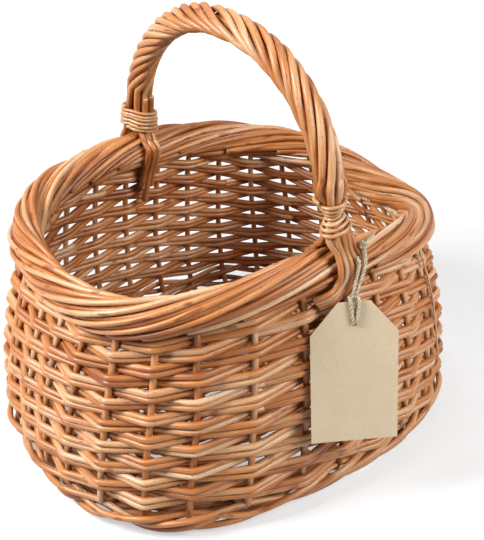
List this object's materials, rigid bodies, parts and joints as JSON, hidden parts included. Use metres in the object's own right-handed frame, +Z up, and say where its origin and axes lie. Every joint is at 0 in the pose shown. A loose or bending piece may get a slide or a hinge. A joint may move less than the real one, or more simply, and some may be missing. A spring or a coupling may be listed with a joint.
{
  "type": "mushroom foraging basket",
  "caption": "Oval woven willow foraging basket with bulging sides, a rolled border, a roped bow handle with lashed feet and a blank card tag on twine.",
  "frame": {"origin": "middle of the footprint, at the ground the basket stands on", "axes": "+X along the basket's length to the right of the foot with the tag, -Y towards the foot with the tag, +Z up"},
  "size_m": [0.4031, 0.373, 0.3815],
  "materials": {
    "peeled_willow": "buff-coloured willow rod with a soft sheen and fine grain along it",
    "peeled_willow_dark": "darker brown willow rod, satin",
    "peeled_willow_pale": "pale straw willow rod, satin",
    "kraft_card": "matt unprinted brown card",
    "jute_twine": "hairy two-ply twine"
  },
  "bodies": {
    "basket": {"base_edge_weave": "peeled_willow_pale", "base_long_stick_1": "peeled_willow", "base_long_stick_2": "peeled_willow", "base_long_stick_3": "peeled_willow", "base_short_stick_1": "peeled_willow_dark", "base_short_stick_2": "peeled_willow_dark", "base_short_stick_3": "peeled_willow_dark", "base_short_stick_4": "peeled_willow_dark", "base_weave_1": "peeled_willow", "base_weave_2": "peeled_willow_pale", "foot_wale_1": "peeled_willow_dark", "foot_wale_2": "peeled_willow_dark", "foot_wale_3": "peeled_willow_dark", "handle_core": "peeled_willow_dark", "lashing_far": "peeled_willow_pale", "lashing_near": "peeled_willow_pale", "rope_rod_1": "peeled_willow", "rope_rod_2": "peeled_willow_pale", "rope_rod_3": "peeled_willow", "rope_rod_4": "peeled_willow_pale", "rope_rod_5": "peeled_willow", "rope_rod_6": "peeled_willow_pale", "rope_rod_7": "peeled_willow", "rope_rod_8": "peeled_willow_pale", "stake_01": "peeled_willow", "stake_02": "peeled_willow_pale", "stake_03": "peeled_willow_dark", "stake_04": "peeled_willow", "stake_05": "peeled_willow_pale", "stake_06": "peeled_willow_dark", "stake_07": "peeled_willow", "stake_08": "peeled_willow_pale", "stake_09": "peeled_willow_dark", "stake_10": "peeled_willow", "stake_11": "peeled_willow_pale", "stake_12": "peeled_willow_dark", "stake_13": "peeled_willow", "stake_14": "peeled_willow_pale", "stake_15": "peeled_willow_dark", "stake_16": "peeled_willow", "stake_17": "peeled_willow_pale", "stake_18": "peeled_willow_dark", "stake_19": "peeled_willow", "stake_20": "peeled_willow_pale", "stake_21": "peeled_willow_dark", "stake_22": "peeled_willow", "stake_23": "peeled_willow_pale", "stake_24": "peeled_willow_dark", "stake_25": "peeled_willow", "stake_26": "peeled_willow_pale", "stake_27": "peeled_willow_dark", "stake_28": "peeled_willow", "stake_29": "peeled_willow_pale", "stake_30": "peeled_willow_dark", "stake_31": "peeled_willow", "twine_loop": "jute_twine", "wall_weave_1": "peeled_willow", "wall_weave_2": "peeled_willow_pale"},
    "tag": {"tag": "kraft_card", "twine_hanger": "jute_twine"}
  },
  "joints": [
    {"name": "tag_swing", "type": "hinge", "parent": "basket", "child": "tag", "pos_m": [0.01235, -0.15742, 0.21739], "axis": [-0.866, 0.5, 0], "range_deg": [0, 75]}
  ]
}
